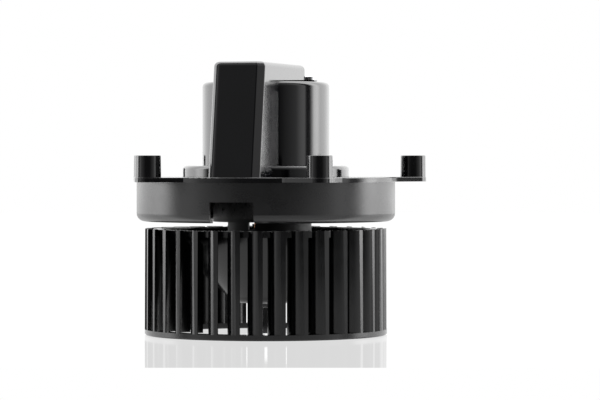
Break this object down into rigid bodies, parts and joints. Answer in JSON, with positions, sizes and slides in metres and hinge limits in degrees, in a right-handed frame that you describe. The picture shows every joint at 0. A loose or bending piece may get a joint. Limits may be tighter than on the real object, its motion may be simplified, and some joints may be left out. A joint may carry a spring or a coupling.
{
  "type": "cabin blower motor and fan wheel",
  "caption": "Cabin blower: a forward-curved fan wheel under a round flange with fixing posts, and a closed motor cover fed by a box-shaped cooling-air hood.",
  "frame": {"origin": "centre of the fixing-post circle on the underside of the flange plate, on the motor axis", "axes": "+Z along the motor axis towards the closed top of the motor cover; -Y towards the cooling-air notch side; the fan wheel is below, on the -Z side"},
  "size_m": [0.186, 0.1918, 0.1686],
  "materials": {
    "housing_plastic": "fine spark-eroded satin black, glass-filled",
    "cover_plastic": "smooth semi-gloss black",
    "fan_plastic": "satin black moulding",
    "sleeve_steel": "rolled steel, dull",
    "screw_zinc": "zinc plated",
    "yoke_black": "deep-drawn steel sheet, black coated",
    "spring_steel": "bright spring steel",
    "shaft_steel": "ground",
    "core_steel": "punched sheet stack",
    "ferrite": "sintered, matt",
    "bearing_bronze": "sintered, oil filled",
    "oil_felt": "oil-soaked felt",
    "bracket_plastic": "moulded black",
    "card_board": "phenolic laminate",
    "brass": "stamped",
    "tin_brass": "tin plated",
    "carbon": "pressed carbon",
    "copper": "enamelled copper",
    "rubber": "soft black",
    "socket_plastic": "satin black",
    "lead_insulation": "wire insulation",
    "insulator": "moulded end insulator",
    "washer_nylon": "nylon"
  },
  "bodies": {
    "housing": {"flange_housing": "housing_plastic", "post_sleeves": "sleeve_steel", "motor_cover": "cover_plastic", "cooling_hood": "cover_plastic", "hood_screw": "screw_zinc", "motor_yoke": "yoke_black", "magnets": "ferrite", "magnet_clips": "spring_steel", "top_bearing": "bearing_bronze", "top_bearing_retainer": "spring_steel", "top_oil_felt": "oil_felt", "low_bearing": "bearing_bronze", "low_bearing_retainer": "spring_steel", "low_oil_felt": "oil_felt", "end_bracket": "bracket_plastic", "brush_card": "card_board", "brush_holder_right": "brass", "brush_spring_right": "spring_steel", "brush_pigtail_right": "copper", "brush_holder_left": "brass", "brush_spring_left": "spring_steel", "brush_pigtail_left": "copper", "choke_cores": "ferrite", "choke_windings": "copper", "motor_bracket": "yoke_black", "rubber_mounts": "rubber", "motor_screws": "screw_zinc", "top_damping_ring": "rubber", "low_damping_ring": "rubber", "plug_socket": "socket_plastic", "socket_terminals": "tin_brass", "motor_leads": "lead_insulation"},
    "rotor": {"shaft": "shaft_steel", "armature_core": "core_steel", "slot_insulators": "insulator", "armature_windings": "copper", "commutator_hub": "card_board", "commutator_bars": "copper", "thrust_washers": "washer_nylon", "hub_insert": "brass", "fan_dome": "fan_plastic", "fan_blades": "fan_plastic", "fan_top_ring": "fan_plastic", "fan_foot_ring": "fan_plastic", "fan_clip": "spring_steel", "balance_clips": "spring_steel"},
    "brush_right": {"carbon_brush_right": "carbon"},
    "brush_left": {"carbon_brush_left": "carbon"}
  },
  "joints": [
    {"name": "fan_spin", "type": "hinge", "parent": "housing", "child": "rotor", "pos_m": [0, 0, 0], "axis": [0, 0, 1], "continuous": true},
    {"name": "brush_slide_right", "type": "slide", "parent": "housing", "child": "brush_right", "axis": [1, 0, 0], "range_m": [0, 0.003], "stiffness_N_per_m": 300, "springref_m": -0.006, "deforming": ["brush_spring_right", "brush_pigtail_right"]},
    {"name": "brush_slide_left", "type": "slide", "parent": "housing", "child": "brush_left", "axis": [-1, 0, 0], "range_m": [0, 0.003], "stiffness_N_per_m": 300, "springref_m": -0.006, "deforming": ["brush_spring_left", "brush_pigtail_left"]}
  ]
}
